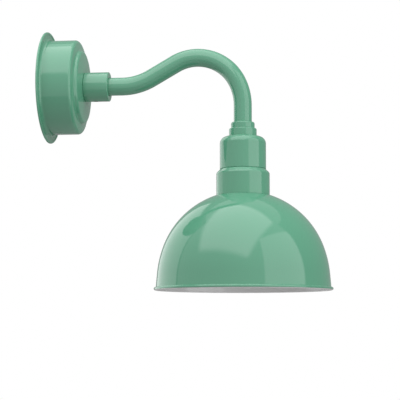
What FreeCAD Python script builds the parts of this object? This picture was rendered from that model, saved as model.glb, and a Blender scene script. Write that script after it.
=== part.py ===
"""Gooseneck wall sconce with a half-dome shade, modelled piece by piece in millimetres.

Frame: +X leaves the wall, +Z is up. The origin is on the wall plane, on the hub's axis, at
the centre of the two slots that take the junction box screws. The shade hangs about a
vertical axis at x = SHADE_X. Every piece is a separate solid, exported under its own name.
"""
import FreeCAD, Part
import math
import os

V = FreeCAD.Vector
X_AXIS, Y_AXIS, Z_AXIS = V(1, 0, 0), V(0, 1, 0), V(0, 0, 1)

# ---- driving dimensions, in mm ----
SHADE_X = 224.6          # shade axis, out from the wall
RIM_RADIUS = 100.0       # shade over its rolled bead: a 200 mm, or 8 inch, dome
TUBE_R = 10.2            # gooseneck tube, 20 mm steel with its coat
TUBE_WALL = 1.5
CANOPY_R = 64.0          # over the canopy's lip
DRUM_R = 54.0
CANOPY_DEPTH = 43.4      # wall to the canopy's raised face, at the hub
HUB_R = 16.8
HUB_END_X = 71.4
CAP_R = 26.0             # upper step of the neck
NECK_R = 30.0            # lower step of the neck
CABLE_R = 3.1
LEAD_R = 1.1
RUN_CLEAR = 0.05         # radial running clearance of a shaft in its bore
SCREW_CLEAR = 0.05       # a screw's thread in its tapped hole
HOLE_CLEAR = 0.15        # a plain hole over what passes through it
CABLE_CLEAR = 0.35       # a hole that the cable turns in

# ---- canopy and what it covers ----
SHEET = 1.0              # canopy sheet
LIP_DEPTH, LIP_IN_R = 2.4, 61.6
FLANGE_FRONT_X, FLANGE_BACK_X = 1.8, 1.0
GASKET_IN_R, GASKET_OUT_R, GASKET_T = 55.2, 61.2, 0.95
DRUM_FRONT_X, DRUM_CORNER_R = 37.0, 4.0
STEP_FOOT_X, STEP_FOOT_R = 38.4, 42.6    # where the raised disc stands on the drum's front
STEP_FACE_X, STEP_TOP_R = 42.2, 40.9     # the raised disc's shoulder; its face is slightly crowned
SEAT_R = 22.0                            # flat middle of the face, under the hub
PLATE_R, PLATE_T = 50.0, 1.6
SUPPLY_HOLE_R = 11.0
BOX_SLOT_SPACING = 79.375    # midway between 69.85 and 88.9 mm box screw centres
BOX_SLOT_LENGTH = 14.5
BOX_SLOT_R = 2.5
EAR_OUTER_Z, EAR_WIDTH, EAR_REACH = 48.1, 14.0, 20.0
SIDE_SCREW_X = 12.0
SIDE_SCREW_R = 2.0
NUT_HOLE_R, NUT_R, NUT_FLANGE_R, NUT_END_Z = 4.0, 3.9, 5.0, 50.2
BLOCK_LOW_Z, BLOCK_HIGH_Z, BLOCK_HALF_Y, BLOCK_FRONT_X = 17.0, 31.0, 10.0, 14.0
POLE_Y = 5.4
POLE_SCREW_STEP, POLE_SCREW_R, POLE_SCREW_HOLE_R = 4.0, 1.95, 2.1
WIRE_X, WIRE_ENTRY_R = 7.6, 1.9          # the wire entries, out from the wall
BLOCK_SCREW_R, BLOCK_SCREW_HOLE_R = 1.45, 1.6
BLOCK_HEAD_R, BLOCK_HEAD_HOLE_R, BLOCK_HEAD_X = 2.7, 2.9, 8.0
SLOT_FLOOR, SLOT_HALF_W = 0.55, 0.14     # of a slotted head's height and of its radius
GROUND_Z = -31.0
GROUND_SCREW_R, GROUND_WASHER_R, GROUND_HEAD_FLATS, GROUND_HEAD_T = 2.2, 5.0, 7.9, 3.0
TONGUE_R, TONGUE_HOLE_R, TONGUE_T, TONGUE_HALF_W = 4.9, 2.35, 0.8, 1.8
GROUND_BARREL_X, GROUND_BARREL_TOP_Z, GROUND_BARREL_R = 4.1, -20.0, 1.75
CABLE_START_X = 28.0
CORE_CIRCLE_R = 1.6                      # the cores leave the cable's end on this circle

# ---- hub ----
SPIGOT_R = 12.0
SPIGOT_END_X, HUB_THROAT_R = 31.0, 8.0
DISC_R, DISC_T = 20.4, 2.0
WASHER_R, WASHER_T = 18.0, 1.2
LOCKNUT_FLATS, LOCKNUT_T = 32.0, 4.6
BUSH_R, BUSH_FLANGE_R, BUSH_FLANGE_T, BUSH_END_X = 7.95, 9.6, 1.4, 37.0
TUBE_START_X = 44.2
ARM_SCREW_X = 56.0
ARM_SCREW_R = 2.5
DOG_R = 1.9
ARM_TURN_DEG = 90.0      # each way, set by the slot in the tube's underside

# ---- gooseneck centreline, heading angles from +X ----
RISE_X = 86.5
RISE_R = 67.3
RISE_DEG = 29.9
CROWN_R = 50.8
CROWN_END_DEG = 61.9     # below the horizontal
DROP_R = 61.2

# ---- neck, from the top down ----
COLLAR_TOP_Z, COLLAR_R = -44.1, 13.35
TUBE_END_Z = -47.0
LOCK_TOP_Z, LOCK_R = -51.3, 15.6
CAP_TOP_Z, CAP_BOTTOM_Z = -60.6, -97.4
CAP_WALL, CAP_TOP_T, CAP_CORNER_R = 2.5, 3.0, 8.0
NIPPLE_R, NIPPLE_BORE_R = 8.2, 4.6
NIPPLE_TOP_Z, NIPPLE_END_Z = -44.0, -70.2
NIPPLE_NUT_FLATS, NIPPLE_NUT_T = 22.0, 4.0
CAP_SEAL_IN, CAP_SEAL_OUT, CAP_SEAL_T = 10.6, 13.6, 1.2
STRAP_T, STRAP_HALF_W = 1.5, 6.0
STRAP_SCREW_R, STRAP_SCREW_IN_Y = 1.95, 11.6
CAP_SCREW_OFFSET, CAP_SCREW_R, CAP_SCREW_LENGTH = 20.6, 1.45, 12.0
BOSS_R, BOSS_LENGTH, TAP_R, TAP_DEPTH = 3.2, 18.0, 1.5, 14.0
NECK_T = 1.2
NECK_SEAT_R = 25.4       # flat of the shade's neck, under the cap
NECK_SHOULDER_Z, NECK_SHOULDER_R = -101.9, 3.2
HOLDER_R, HOLDER_TOP_Z, HOLDER_MOUTH_Z = 17.0, -70.6, -121.0
HOLDER_BORE_R, HOLDER_FLOOR_Z, CABLE_SEAT_DEPTH = 14.0, -92.0, 6.5
SHELL_TOP_Z, SHELL_BOTTOM_Z = -95.6, -120.4
SHELL_IN_R, SHELL_ROOT_R, SHELL_CREST_R = 13.42, 13.62, 13.92
STRAP_SCREW_Z = -80.0

# ---- shade ----
SHADE_T = 0.9
DOME_R = 95.4            # crown of the dome, about a centre on the axis
DOME_CENTRE_Z = -217.6
DOME_END_DEG = 69.3      # from the vertical, where the wider arc of the flank takes over
FLANK_R = 118.0
SKIRT_DRAFT_DEG = 5.0
SHADE_COLLAR_R = 28.7
SHADE_COLLAR_TOP_Z = -121.5
BEAD_R = 1.8
BEAD_Z = -231.8
BEAD_OPENING_R = 96.85

# ---- lamp ----
LAMP_TIP_Z, LAMP_TIP_R, LAMP_TIP_T = -95.5, 4.6, 1.6
INSULATOR_TOP_R, INSULATOR_R, INSULATOR_CONE_T, INSULATOR_T = 5.4, 11.2, 3.6, 4.6
LAMP_CAP_R, LAMP_CAP_ROOT_R, LAMP_CAP_IN_R = 13.1, 12.35, 11.25
LAMP_CAP_BOTTOM_Z = -119.2
LAMP_NECK_R, LAMP_BORE_R = 12.4, 9.5
LAMP_COLLAR_R, LAMP_WAIST_R, LAMP_WAIST_Z = 15.8, 17.2, -133.0
SEAL_IN_R, SEAL_OUT_R = 13.0, 16.6
LAMP_PITCH = 3.629       # seven threads to the inch
LAMP_COLLAR_Z = -124.4
GLOBE_R = 30.0
GLOBE_Z = -173.0
GLOBE_SEAM_Z = -165.3
LAMP_WALL = 1.4

os.makedirs("parts", exist_ok=True)


def export(name, *solids):
    """Writes one sub-part; several solids share a node when they are identical fasteners."""
    shape = solids[0] if len(solids) == 1 else Part.makeCompound(list(solids))
    bad = [s for s in shape.Solids if not s.isValid() or s.Volume <= 0]
    if bad or not shape.Solids:
        raise SystemExit("bad solid in " + name)
    shape.exportStep("parts/" + name + ".step")
    box = shape.BoundBox
    print("%-20s %9.1f mm3  x %.1f..%.1f  y %.1f..%.1f  z %.1f..%.1f" % (
        name, shape.Volume, box.XMin, box.XMax, box.YMin, box.YMax, box.ZMin, box.ZMax))


def corner_arc(before, corner, after, radius):
    """The tangent arc that rounds a corner: its start, a point on it and its end."""
    to_before = (before - corner).normalize()
    to_after = (after - corner).normalize()
    half = to_before.getAngle(to_after) / 2
    reach = radius / math.tan(half)
    bisector = (to_before + to_after).normalize()
    centre = corner + bisector * (radius / math.sin(half))
    return corner + to_before * reach, centre - bisector * radius, corner + to_after * reach


def rounded_edges(points, radii, closed):
    """Straight runs joined by tangent arcs; a radius of 0 leaves the corner sharp."""
    count = len(points)
    edges, last, first = [], None, None
    for i, point in enumerate(points):
        ends = not closed and i in (0, count - 1)
        if radii[i] and not ends:
            start, middle, end = corner_arc(points[i - 1], point, points[(i + 1) % count], radii[i])
        else:
            start = middle = end = point
        if last is not None and (start - last).Length > 1e-6:
            edges.append(Part.LineSegment(last, start).toShape())
        if end is not start:
            edges.append(Part.Arc(start, middle, end).toShape())
        first = first or start
        last = end
    if closed and (first - last).Length > 1e-6:
        edges.append(Part.LineSegment(last, first).toShape())
    return edges


def profile_face(points, place):
    """A face from (along, radius, corner radius) points, put in 3-D by place(along, radius)."""
    corners = [place(p[0], p[1]) for p in points]
    radii = [p[2] if len(p) > 2 else 0 for p in points]
    return Part.Face(Part.Wire(rounded_edges(corners, radii, True)))


def turned_on_x(points):
    """A solid of revolution about the hub's axis, from (x, radius, corner radius) points."""
    face = profile_face(points, lambda along, radius: V(along, 0, radius))
    return face.revolve(V(0, 0, 0), X_AXIS, 360)


def turned_on_z(points):
    """A solid of revolution about the shade's axis, from (z, radius, corner radius) points."""
    face = profile_face(points, lambda along, radius: V(SHADE_X + radius, 0, along))
    return face.revolve(V(SHADE_X, 0, 0), Z_AXIS, 360)


def rod(radius, start, end):
    axis = end - start
    return Part.makeCylinder(radius, axis.Length, start, axis)


def ring(outer, inner, start, end):
    return rod(outer, start, end).cut(rod(inner, start, end))


def on_shade_axis(z, dx=0.0, dy=0.0):
    return V(SHADE_X + dx, dy, z)


def box(x0, x1, y0, y1, z0, z1):
    return Part.makeBox(x1 - x0, y1 - y0, z1 - z0, V(x0, y0, z0))


def hex_nut(across_flats, bore_r, start, end):
    """A hexagonal nut on any axis, its outer corners trimmed by a cylinder."""
    axis = (end - start).normalize()
    side = axis.cross(Y_AXIS if abs(axis.y) < 0.9 else Z_AXIS).normalize()
    other = axis.cross(side)
    corner_r = across_flats / math.sqrt(3)
    corners = []
    for i in range(6):
        angle = math.radians(60 * i)
        corners.append(start + side * (corner_r * math.cos(angle)) + other * (corner_r * math.sin(angle)))
    prism = Part.Face(Part.makePolygon(corners + corners[:1])).extrude(end - start)
    trimmed = prism.common(rod(corner_r * 0.96, start, end))
    return trimmed.cut(rod(bore_r, start, end)) if bore_r else trimmed


def swept(radius, points):
    """A round wire or cable: straight runs joined by arcs as large as the runs allow."""
    radii = [0.0] * len(points)
    for i in range(1, len(points) - 1):
        run_in, run_out = points[i] - points[i - 1], points[i + 1] - points[i]
        turn = run_in.getAngle(run_out)
        radii[i] = 0.45 * min(run_in.Length, run_out.Length) / math.tan(turn / 2)
    path = Part.Wire(rounded_edges(points, radii, False))
    solid = tube_along(path, points[0], points[1] - points[0], radius)
    section_volume = math.pi * radius * radius * path.Length
    print("  sweep: length %.1f, radii %s, volume over section times length %.4f" % (
        path.Length, " ".join("%.1f" % r for r in radii[1:-1]), solid.Volume / section_volume))
    return solid


def tube_along(path, start, heading, radius):
    section = Part.Wire(Part.Circle(start, heading, radius).toShape())
    return path.makePipeShell([section], True, False)


# ---- behind the canopy ----

def mounting_plate():
    plate = rod(PLATE_R, V(0, 0, 0), V(PLATE_T, 0, 0))
    plate = plate.cut(rod(SUPPLY_HOLE_R, V(-1, 0, 0), V(PLATE_T + 1, 0, 0)))
    travel = BOX_SLOT_LENGTH / 2 - BOX_SLOT_R
    for side in (-1, 1):
        middle = side * BOX_SLOT_SPACING / 2
        slot = box(-1, PLATE_T + 1, middle - travel, middle + travel, -BOX_SLOT_R, BOX_SLOT_R)
        for end in (-travel, travel):
            slot = slot.fuse(rod(BOX_SLOT_R, V(-1, middle + end, 0), V(PLATE_T + 1, middle + end, 0)))
        plate = plate.cut(slot)
        outer, inner = side * EAR_OUTER_Z, side * (EAR_OUTER_Z - PLATE_T)
        ear = box(0, EAR_REACH, -EAR_WIDTH / 2, EAR_WIDTH / 2, min(outer, inner), max(outer, inner))
        plate = plate.fuse(ear)
    for z, radius in ((GROUND_Z, 2.5), ((BLOCK_LOW_Z + BLOCK_HIGH_Z) / 2, 1.5)):
        plate = plate.cut(rod(radius, V(-1, 0, z), V(PLATE_T + 1, 0, z)))
    return plate.removeSplitter()


def wall_gasket():
    return turned_on_x([(0, GASKET_IN_R), (0, GASKET_OUT_R), (GASKET_T, GASKET_OUT_R), (GASKET_T, GASKET_IN_R)])


def canopy():
    inner_r = DRUM_R - SHEET
    face_back = CANOPY_DEPTH - SHEET
    hole = SPIGOT_R + HOLE_CLEAR
    shell = turned_on_x([
        (0, LIP_IN_R, 0.3), (0, CANOPY_R, 0.9), (LIP_DEPTH, CANOPY_R, 1.1), (LIP_DEPTH, LIP_IN_R - 0.1, 0.5),
        (FLANGE_FRONT_X, LIP_IN_R - 0.6, 0.3), (FLANGE_FRONT_X, DRUM_R, 3.4),
        (DRUM_FRONT_X, DRUM_R, DRUM_CORNER_R), (STEP_FOOT_X, STEP_FOOT_R, 1.4),
        (STEP_FACE_X, STEP_TOP_R, 2.8), (CANOPY_DEPTH, SEAT_R, 14.0), (CANOPY_DEPTH, hole),
        (face_back, hole), (face_back, SEAT_R, 13.0), (STEP_FACE_X - SHEET, STEP_TOP_R - SHEET, 1.8),
        (STEP_FOOT_X - SHEET, STEP_FOOT_R - 0.8, 2.4), (DRUM_FRONT_X - SHEET, inner_r, DRUM_CORNER_R - SHEET),
        (FLANGE_BACK_X, inner_r, 4.2), (FLANGE_BACK_X, LIP_IN_R, 0.3)])
    for side in (-1, 1):
        near, far = V(SIDE_SCREW_X, 0, side * (DRUM_R - 3)), V(SIDE_SCREW_X, 0, side * (DRUM_R + 3))
        shell = shell.cut(rod(NUT_HOLE_R, near, far))
    return shell


def canopy_nuts():
    """Clinch nuts in the drum's wall, one above and one below, flush outside."""
    nuts = []
    for side in (-1, 1):
        outer, shoulder = DRUM_R - 0.15, DRUM_R - SHEET - 0.25
        body = rod(NUT_R, V(SIDE_SCREW_X, 0, side * NUT_END_Z), V(SIDE_SCREW_X, 0, side * outer))
        flange = rod(NUT_FLANGE_R, V(SIDE_SCREW_X, 0, side * (NUT_END_Z + 0.2)), V(SIDE_SCREW_X, 0, side * shoulder))
        bore = rod(SIDE_SCREW_R + SCREW_CLEAR, V(SIDE_SCREW_X, 0, side * 49), V(SIDE_SCREW_X, 0, side * 56))
        nuts.append(body.fuse(flange).cut(bore).removeSplitter())
    return nuts


def canopy_set_screws():
    """Socket grub screws that bear on the plate's ears and hold the canopy to the wall."""
    screws = []
    for side in (-1, 1):
        tip, outer = EAR_OUTER_Z + 0.02, DRUM_R - 0.7
        body = rod(SIDE_SCREW_R, V(SIDE_SCREW_X, 0, side * tip), V(SIDE_SCREW_X, 0, side * outer))
        socket = hex_nut(2.0, 0, V(SIDE_SCREW_X, 0, side * (outer - 2)), V(SIDE_SCREW_X, 0, side * (outer + 1)))
        screws.append(body.cut(socket))
    return screws


def terminal_block():
    block = box(PLATE_T, BLOCK_FRONT_X, -BLOCK_HALF_Y, BLOCK_HALF_Y, BLOCK_LOW_Z, BLOCK_HIGH_Z)
    block = block.makeFillet(1.2, [e for e in block.Edges if abs(e.BoundBox.XMin - BLOCK_FRONT_X) < 1e-6])
    middle = (BLOCK_LOW_Z + BLOCK_HIGH_Z) / 2
    for y in (-POLE_Y, POLE_Y):
        block = block.cut(rod(WIRE_ENTRY_R, V(WIRE_X, y, BLOCK_LOW_Z - 1), V(WIRE_X, y, BLOCK_HIGH_Z + 1)))
        for z in (middle - POLE_SCREW_STEP, middle + POLE_SCREW_STEP):
            block = block.cut(rod(POLE_SCREW_HOLE_R, V(WIRE_X + 2.6, y, z), V(BLOCK_FRONT_X + 1, y, z)))
    block = block.cut(rod(BLOCK_SCREW_HOLE_R, V(0, 0, middle), V(BLOCK_FRONT_X + 1, 0, middle)))
    return block.cut(rod(BLOCK_HEAD_HOLE_R, V(BLOCK_HEAD_X, 0, middle), V(BLOCK_FRONT_X + 1, 0, middle)))


def slotted_head(radius, height, start, axis):
    """A cheese head with a screwdriver slot across it, standing along the axis."""
    head = rod(radius, start, start + axis * height)
    across = Y_AXIS if abs(axis.y) < 0.9 else Z_AXIS
    side = axis.cross(across)
    low = start + axis * (height * SLOT_FLOOR) - across * (radius + 1) - side * (radius * SLOT_HALF_W)
    corners = [low, low + across * (2 * radius + 2)]
    width = side * (2 * radius * SLOT_HALF_W)
    corners += [corners[1] + width, low + width]
    slot = Part.Face(Part.makePolygon(corners + corners[:1])).extrude(axis * height)
    return head.cut(slot)


def terminal_screws():
    middle = (BLOCK_LOW_Z + BLOCK_HIGH_Z) / 2
    screws = []
    for y in (-POLE_Y, POLE_Y):
        for z in (middle - POLE_SCREW_STEP, middle + POLE_SCREW_STEP):
            screws.append(slotted_head(POLE_SCREW_R, 2.4, V(WIRE_X + 2.7, y, z), X_AXIS))
    return screws


def block_screw():
    middle = (BLOCK_LOW_Z + BLOCK_HIGH_Z) / 2
    seat = V(BLOCK_HEAD_X, 0, middle)
    head = slotted_head(BLOCK_HEAD_R, 2.2, seat, X_AXIS)
    return head.fuse(rod(BLOCK_SCREW_R, V(0.2, 0, middle), seat)).removeSplitter()


def ground_screw():
    """Hexagon washer head screw in the plate, over the ring terminal."""
    seat, washer_top = PLATE_T + TONGUE_T, PLATE_T + TONGUE_T + 1.0
    head = hex_nut(GROUND_HEAD_FLATS, 0, V(washer_top, 0, GROUND_Z), V(washer_top + GROUND_HEAD_T, 0, GROUND_Z))
    washer = rod(GROUND_WASHER_R, V(seat, 0, GROUND_Z), V(washer_top, 0, GROUND_Z))
    shank = rod(GROUND_SCREW_R, V(0.1, 0, GROUND_Z), V(PLATE_T + 1, 0, GROUND_Z))
    return head.fuse([washer, shank]).removeSplitter()


def ground_terminal():
    """Ring tongue on the plate with the crimped barrel standing off it."""
    tongue = rod(TONGUE_R, V(PLATE_T, 0, GROUND_Z), V(PLATE_T + TONGUE_T, 0, GROUND_Z))
    tongue = tongue.fuse(box(PLATE_T, PLATE_T + TONGUE_T, -TONGUE_HALF_W, TONGUE_HALF_W, GROUND_Z, GROUND_Z + 8.0))
    tongue = tongue.cut(rod(TONGUE_HOLE_R, V(0, 0, GROUND_Z), V(9, 0, GROUND_Z)))
    barrel = rod(GROUND_BARREL_R, V(GROUND_BARREL_X, 0, -25.2), V(GROUND_BARREL_X, 0, GROUND_BARREL_TOP_Z))
    return tongue.fuse(barrel).removeSplitter()


def lead_start(angle_deg):
    """Where a core leaves the cable's cut end, on a small circle about the axis."""
    angle = math.radians(angle_deg)
    return V(CABLE_START_X, CORE_CIRCLE_R * math.cos(angle), CORE_CIRCLE_R * math.sin(angle))


def pole_lead(side, start_deg):
    """A core from the cable, up in front of the terminal block and into it from above."""
    start = lead_start(start_deg)
    y = side * POLE_Y
    return swept(LEAD_R, [
        start, V(22.4, start.y, start.z), V(19.6, side * 3.6, 8.6), V(19.0, y, 18.0), V(18.8, side * 5.6, 27.4),
        V(17.6, y, 36.0), V(12.6, y, 40.6), V(8.2, y, 37.4), V(WIRE_X, y, 31.2), V(WIRE_X, y, 25.2)])


def ground_lead():
    start = lead_start(270)
    return swept(LEAD_R, [
        start, V(22.6, start.y, start.z), V(17.2, 0, -4.6), V(11.6, 0, -7.2), V(6.0, 0, -10.0),
        V(GROUND_BARREL_X, 0, -15.0), V(GROUND_BARREL_X, 0, GROUND_BARREL_TOP_Z)])


# ---- hub ----

def backing_disc():
    face_back = CANOPY_DEPTH - SHEET
    return ring(DISC_R, SPIGOT_R + HOLE_CLEAR, V(face_back - DISC_T, 0, 0), V(face_back, 0, 0))


def hub_washer():
    end = CANOPY_DEPTH - SHEET - DISC_T
    return ring(WASHER_R, SPIGOT_R + HOLE_CLEAR, V(end - WASHER_T, 0, 0), V(end, 0, 0))


def hub_locknut():
    end = CANOPY_DEPTH - SHEET - DISC_T - WASHER_T
    return hex_nut(LOCKNUT_FLATS, SPIGOT_R + SCREW_CLEAR, V(end - LOCKNUT_T, 0, 0), V(end, 0, 0))


def hub():
    """Turned hub: a threaded spigot through the canopy, and the bore that the arm turns in."""
    bore = TUBE_R + RUN_CLEAR
    stop_x = TUBE_START_X - 0.2
    body = turned_on_x([
        (SPIGOT_END_X, HUB_THROAT_R), (SPIGOT_END_X, SPIGOT_R, 0.6), (CANOPY_DEPTH, SPIGOT_R),
        (CANOPY_DEPTH, HUB_R - 0.5), (CANOPY_DEPTH + 0.5, HUB_R), (HUB_END_X, HUB_R, 0.8),
        (HUB_END_X, bore + 0.9), (HUB_END_X - 0.9, bore), (stop_x, bore), (stop_x, HUB_THROAT_R)])
    tapped = rod(ARM_SCREW_R + SCREW_CLEAR, V(ARM_SCREW_X, 0, 1 - bore), V(ARM_SCREW_X, 0, -HUB_R - 1))
    return body.cut(tapped)


def arm_set_screw():
    """Grub screw under the hub; its dog runs in the tube's slot and limits the turn."""
    def below(depth):
        return V(ARM_SCREW_X, 0, -depth)

    shank_end, outer = TUBE_R + 0.3, HUB_R - 0.5
    body = rod(ARM_SCREW_R, below(shank_end), below(outer))
    dog = rod(DOG_R, below(TUBE_R - TUBE_WALL + 0.2), below(shank_end))
    socket = hex_nut(2.5, 0, below(outer - 2.4), below(outer + 1))
    return body.fuse(dog).cut(socket).removeSplitter()


def cable_bush():
    start = SPIGOT_END_X - BUSH_FLANGE_T
    return turned_on_x([
        (start, CABLE_R + CABLE_CLEAR), (start, BUSH_FLANGE_R, 0.4), (SPIGOT_END_X, BUSH_FLANGE_R),
        (SPIGOT_END_X, BUSH_R), (BUSH_END_X, BUSH_R), (BUSH_END_X, CABLE_R + CABLE_CLEAR)])


# ---- arm ----

def gooseneck_edges(start_x, end_z):
    """The centreline: out from the hub, up, over the crown and down the shade's axis."""
    rise, crown = math.radians(RISE_DEG), math.radians(CROWN_END_DEG)
    bends_x = (RISE_R * math.sin(rise) + CROWN_R * (math.sin(rise) + math.sin(crown))
               + DROP_R * (1 - math.sin(crown)))
    climb = (SHADE_X - RISE_X - bends_x) / math.cos(rise)
    edges = []
    point, heading = V(start_x, 0, 0), 0.0

    def run(length):
        nonlocal point
        end = point + V(math.cos(heading), 0, math.sin(heading)) * length
        edges.append(Part.LineSegment(point, end).toShape())
        point = end

    def bend(radius, new_heading):
        nonlocal point, heading
        side = 1 if new_heading > heading else -1
        centre = point + V(-math.sin(heading), 0, math.cos(heading)) * (side * radius)

        def at(angle):
            return centre - V(-math.sin(angle), 0, math.cos(angle)) * (side * radius)

        end = at(new_heading)
        edges.append(Part.Arc(point, at((heading + new_heading) / 2), end).toShape())
        point, heading = end, new_heading

    run(RISE_X - start_x)
    bend(RISE_R, rise)
    run(climb)
    bend(CROWN_R, -crown)
    bend(DROP_R, -math.pi / 2)
    run(point.z - end_z)
    return edges


def gooseneck_tube():
    path = Part.Wire(gooseneck_edges(TUBE_START_X, TUBE_END_Z))
    outer = tube_along(path, V(TUBE_START_X, 0, 0), X_AXIS, TUBE_R)
    inner = tube_along(path, V(TUBE_START_X, 0, 0), X_AXIS, TUBE_R - TUBE_WALL)
    tube = outer.cut(inner)
    half_width = DOG_R + 0.2
    end_gap = math.degrees(math.asin((DOG_R + 0.12) / (TUBE_R - TUBE_WALL)))
    sweep = 2 * (ARM_TURN_DEG + end_gap)
    x0, x1 = ARM_SCREW_X - half_width, ARM_SCREW_X + half_width
    low, high = TUBE_R - TUBE_WALL - 1, TUBE_R + 1
    corners = [V(x0, 0, -low), V(x1, 0, -low), V(x1, 0, -high), V(x0, 0, -high)]
    slot = Part.Face(Part.makePolygon(corners + corners[:1]))
    slot.rotate(V(0, 0, 0), X_AXIS, -sweep / 2)
    return tube.cut(slot.revolve(V(0, 0, 0), X_AXIS, sweep))


def arm_cable():
    """Round cable through the hub, the tube and the nipple, down into the lampholder."""
    path = Part.Wire(gooseneck_edges(CABLE_START_X, HOLDER_TOP_Z - CABLE_SEAT_DEPTH + 0.5))
    return tube_along(path, V(CABLE_START_X, 0, 0), X_AXIS, CABLE_R)


def tube_collar():
    bore = TUBE_R + 0.02
    return turned_on_z([
        (COLLAR_TOP_Z, bore), (COLLAR_TOP_Z, COLLAR_R, 1.9), (LOCK_TOP_Z, COLLAR_R, 0.5),
        (LOCK_TOP_Z, NIPPLE_R + SCREW_CLEAR), (TUBE_END_Z - 0.05, NIPPLE_R + SCREW_CLEAR), (TUBE_END_Z - 0.05, bore)])


def lock_ring():
    bore = NIPPLE_R + SCREW_CLEAR
    return turned_on_z([(LOCK_TOP_Z, bore), (LOCK_TOP_Z, LOCK_R, 1.3), (CAP_TOP_Z, LOCK_R, 0.4), (CAP_TOP_Z, bore)])


def nipple():
    return ring(NIPPLE_R, NIPPLE_BORE_R, on_shade_axis(NIPPLE_END_Z), on_shade_axis(NIPPLE_TOP_Z))


def cap_seal():
    return turned_on_z([(CAP_TOP_Z, CAP_SEAL_IN + 0.05), (CAP_TOP_Z, CAP_SEAL_OUT - 0.05),
                        (CAP_TOP_Z - CAP_SEAL_T, CAP_SEAL_OUT - 0.05), (CAP_TOP_Z - CAP_SEAL_T, CAP_SEAL_IN + 0.05)])


def socket_cap():
    """Cast cap of the neck, with a seal groove on top and two tapped bosses inside."""
    inner_r, inner_top = CAP_R - CAP_WALL, CAP_TOP_Z - CAP_TOP_T
    hole = NIPPLE_R + RUN_CLEAR
    cap = turned_on_z([
        (CAP_TOP_Z, hole), (CAP_TOP_Z, CAP_SEAL_IN), (CAP_TOP_Z - CAP_SEAL_T, CAP_SEAL_IN),
        (CAP_TOP_Z - CAP_SEAL_T, CAP_SEAL_OUT), (CAP_TOP_Z, CAP_SEAL_OUT),
        (CAP_TOP_Z, CAP_R, CAP_CORNER_R), (CAP_BOTTOM_Z, CAP_R), (CAP_BOTTOM_Z, inner_r),
        (inner_top, inner_r, 4.0), (inner_top, hole)])
    for side in (-1, 1):
        foot = on_shade_axis(CAP_BOTTOM_Z, side * CAP_SCREW_OFFSET)
        cap = cap.fuse(rod(BOSS_R, foot, foot + V(0, 0, BOSS_LENGTH)))
    for side in (-1, 1):
        foot = on_shade_axis(CAP_BOTTOM_Z, side * CAP_SCREW_OFFSET)
        cap = cap.cut(rod(TAP_R, foot - V(0, 0, 1), foot + V(0, 0, TAP_DEPTH)))
    return cap.removeSplitter()


def cap_screws():
    screws = []
    for side in (-1, 1):
        seat = on_shade_axis(CAP_BOTTOM_Z - NECK_T, side * CAP_SCREW_OFFSET)
        head = slotted_head(2.8, 2.0, seat, V(0, 0, -1))
        screws.append(head.fuse(rod(CAP_SCREW_R, seat, seat + V(0, 0, CAP_SCREW_LENGTH))).removeSplitter())
    return screws


def holder_strap():
    """Bent strap hung on the nipple; the lampholder is screwed between its two legs."""
    top = CAP_TOP_Z - CAP_TOP_T
    reach, foot = HOLDER_R + 0.2 + STRAP_T, STRAP_SCREW_Z - 6.0
    strap = box(SHADE_X - STRAP_HALF_W, SHADE_X + STRAP_HALF_W, -reach, reach, top - STRAP_T, top)
    strap = strap.cut(rod(NIPPLE_R + RUN_CLEAR, on_shade_axis(top - 3), on_shade_axis(top + 1)))
    for side in (-1, 1):
        near, far = side * (reach - STRAP_T), side * reach
        leg = box(SHADE_X - STRAP_HALF_W, SHADE_X + STRAP_HALF_W, min(near, far), max(near, far), foot, top - STRAP_T)
        strap = strap.fuse(leg)
    left, right = on_shade_axis(STRAP_SCREW_Z, 0, -30), on_shade_axis(STRAP_SCREW_Z, 0, 30)
    return strap.cut(rod(STRAP_SCREW_R + HOLE_CLEAR, left, right)).removeSplitter()


def strap_screws():
    reach = HOLDER_R + 0.2 + STRAP_T
    screws = []
    for side in (-1, 1):
        seat = on_shade_axis(STRAP_SCREW_Z, 0, side * reach)
        head = slotted_head(3.2, 1.9, seat, V(0, side, 0))
        tip = on_shade_axis(STRAP_SCREW_Z, 0, side * STRAP_SCREW_IN_Y)
        screws.append(head.fuse(rod(STRAP_SCREW_R, tip, seat)).removeSplitter())
    return screws


def nipple_nut():
    top = CAP_TOP_Z - CAP_TOP_T - STRAP_T
    return hex_nut(NIPPLE_NUT_FLATS, NIPPLE_R + SCREW_CLEAR, on_shade_axis(top - NIPPLE_NUT_T), on_shade_axis(top))


def lampholder_body():
    seat_z = HOLDER_TOP_Z - CABLE_SEAT_DEPTH
    body = turned_on_z([
        (HOLDER_TOP_Z, CABLE_R + CABLE_CLEAR), (HOLDER_TOP_Z, HOLDER_R, 3.0), (HOLDER_MOUTH_Z, HOLDER_R, 0.8),
        (HOLDER_MOUTH_Z, HOLDER_BORE_R), (HOLDER_FLOOR_Z, HOLDER_BORE_R), (HOLDER_FLOOR_Z, 0),
        (seat_z, 0), (seat_z, CABLE_R + CABLE_CLEAR)])
    for side in (-1, 1):
        inner, outer = on_shade_axis(STRAP_SCREW_Z, 0, side * 11), on_shade_axis(STRAP_SCREW_Z, 0, side * 18)
        body = body.cut(rod(STRAP_SCREW_R + SCREW_CLEAR, inner, outer))
    return body


def screw_shell():
    """Thin nickel-plated shell that the lamp screws into, rolled into shallow waves."""
    return turned_on_z(thread_outline(SHELL_TOP_Z, SHELL_BOTTOM_Z, SHELL_CREST_R, SHELL_IN_R, SHELL_ROOT_R))


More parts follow.
